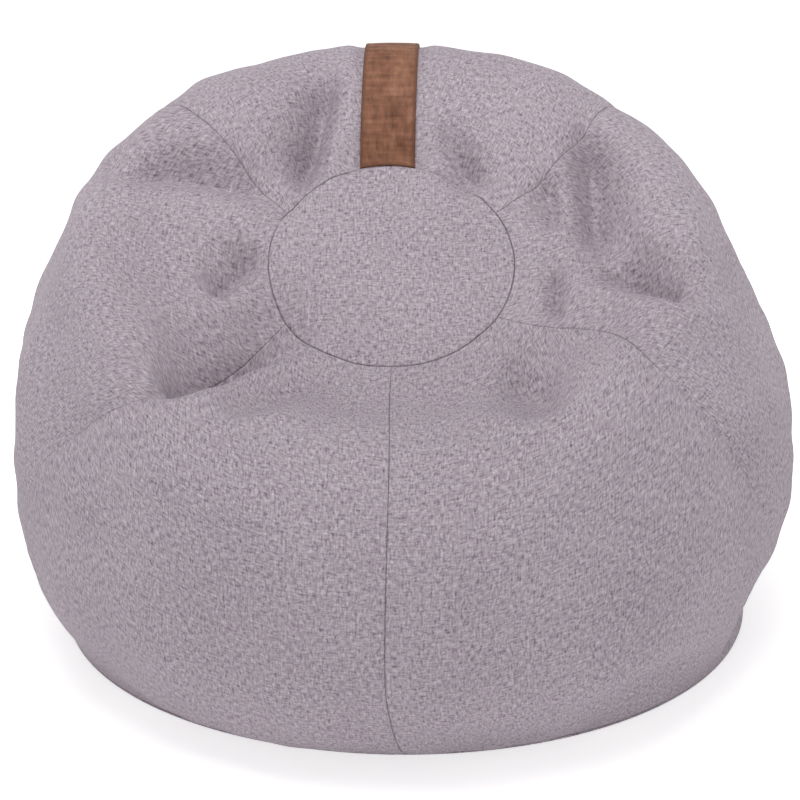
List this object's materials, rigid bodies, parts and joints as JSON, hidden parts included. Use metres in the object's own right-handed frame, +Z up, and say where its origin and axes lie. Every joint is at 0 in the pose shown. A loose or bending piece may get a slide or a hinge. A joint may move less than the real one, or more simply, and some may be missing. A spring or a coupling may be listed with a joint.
{
  "type": "bean bag chair",
  "caption": "Slumped round bean bag chair: sewn fabric gores and a round top panel around an inner bead liner, with a zipped flat base and a leather-look carrying strap over the back.",
  "frame": {"origin": "on the floor, under the middle of the bag's outline", "axes": "+Z up; -Y is the front, where the seat faces; +X to the right as seen from the front"},
  "size_m": [0.8588, 0.862, 0.6051],
  "materials": {
    "cover_fabric": "heathered mauve-grey woven upholstery cloth",
    "strap_leather": "tan-brown leather-look, satin",
    "strap_lining": "brown woven backing",
    "zip_tape": "grey woven tape",
    "zip_teeth": "grey moulded plastic",
    "zip_metal": "grey lacquered zinc",
    "liner_fabric": "off-white thin woven lining",
    "bead_fill": null
  },
  "bodies": {
    "chair": {"base_panel_front": "cover_fabric", "base_panel_rear": "cover_fabric", "bead_fill": "bead_fill", "cover_cap": "cover_fabric", "gore_back_left": "cover_fabric", "gore_back_right": "cover_fabric", "gore_front_left": "cover_fabric", "gore_front_right": "cover_fabric", "gore_left": "cover_fabric", "gore_right": "cover_fabric", "handle_reinforcement_patch": "strap_lining", "handle_strap": "strap_leather", "handle_strap_lining": "strap_lining", "liner_base": "liner_fabric", "liner_gore_back_left": "liner_fabric", "liner_gore_back_right": "liner_fabric", "liner_gore_front_left": "liner_fabric", "liner_gore_front_right": "liner_fabric", "liner_gore_left": "liner_fabric", "liner_gore_right": "liner_fabric", "liner_top_front": "liner_fabric", "liner_top_rear": "liner_fabric", "liner_zip_end_stops": "zip_metal", "liner_zip_tape_front": "zip_tape", "liner_zip_tape_rear": "zip_tape", "liner_zip_teeth_front": "zip_teeth", "liner_zip_teeth_rear": "zip_teeth", "zip_end_stops": "zip_metal", "zip_tape_front": "zip_tape", "zip_tape_rear": "zip_tape", "zip_teeth_front": "zip_teeth", "zip_teeth_rear": "zip_teeth"},
    "base_zip_slider": {"zip_slider": "zip_metal"},
    "liner_zip_slider": {"liner_zip_slider": "zip_metal"}
  },
  "joints": [
    {"name": "base_zip_slide", "type": "slide", "parent": "chair", "child": "base_zip_slider", "axis": [-1, 0, 0], "range_m": [0, 0.48], "deforming": ["zip_teeth_front", "zip_teeth_rear"]},
    {"name": "liner_zip_slide", "type": "slide", "parent": "chair", "child": "liner_zip_slider", "axis": [-1, 0, 0], "range_m": [0, 0.16], "deforming": ["liner_zip_teeth_front", "liner_zip_teeth_rear"]}
  ]
}
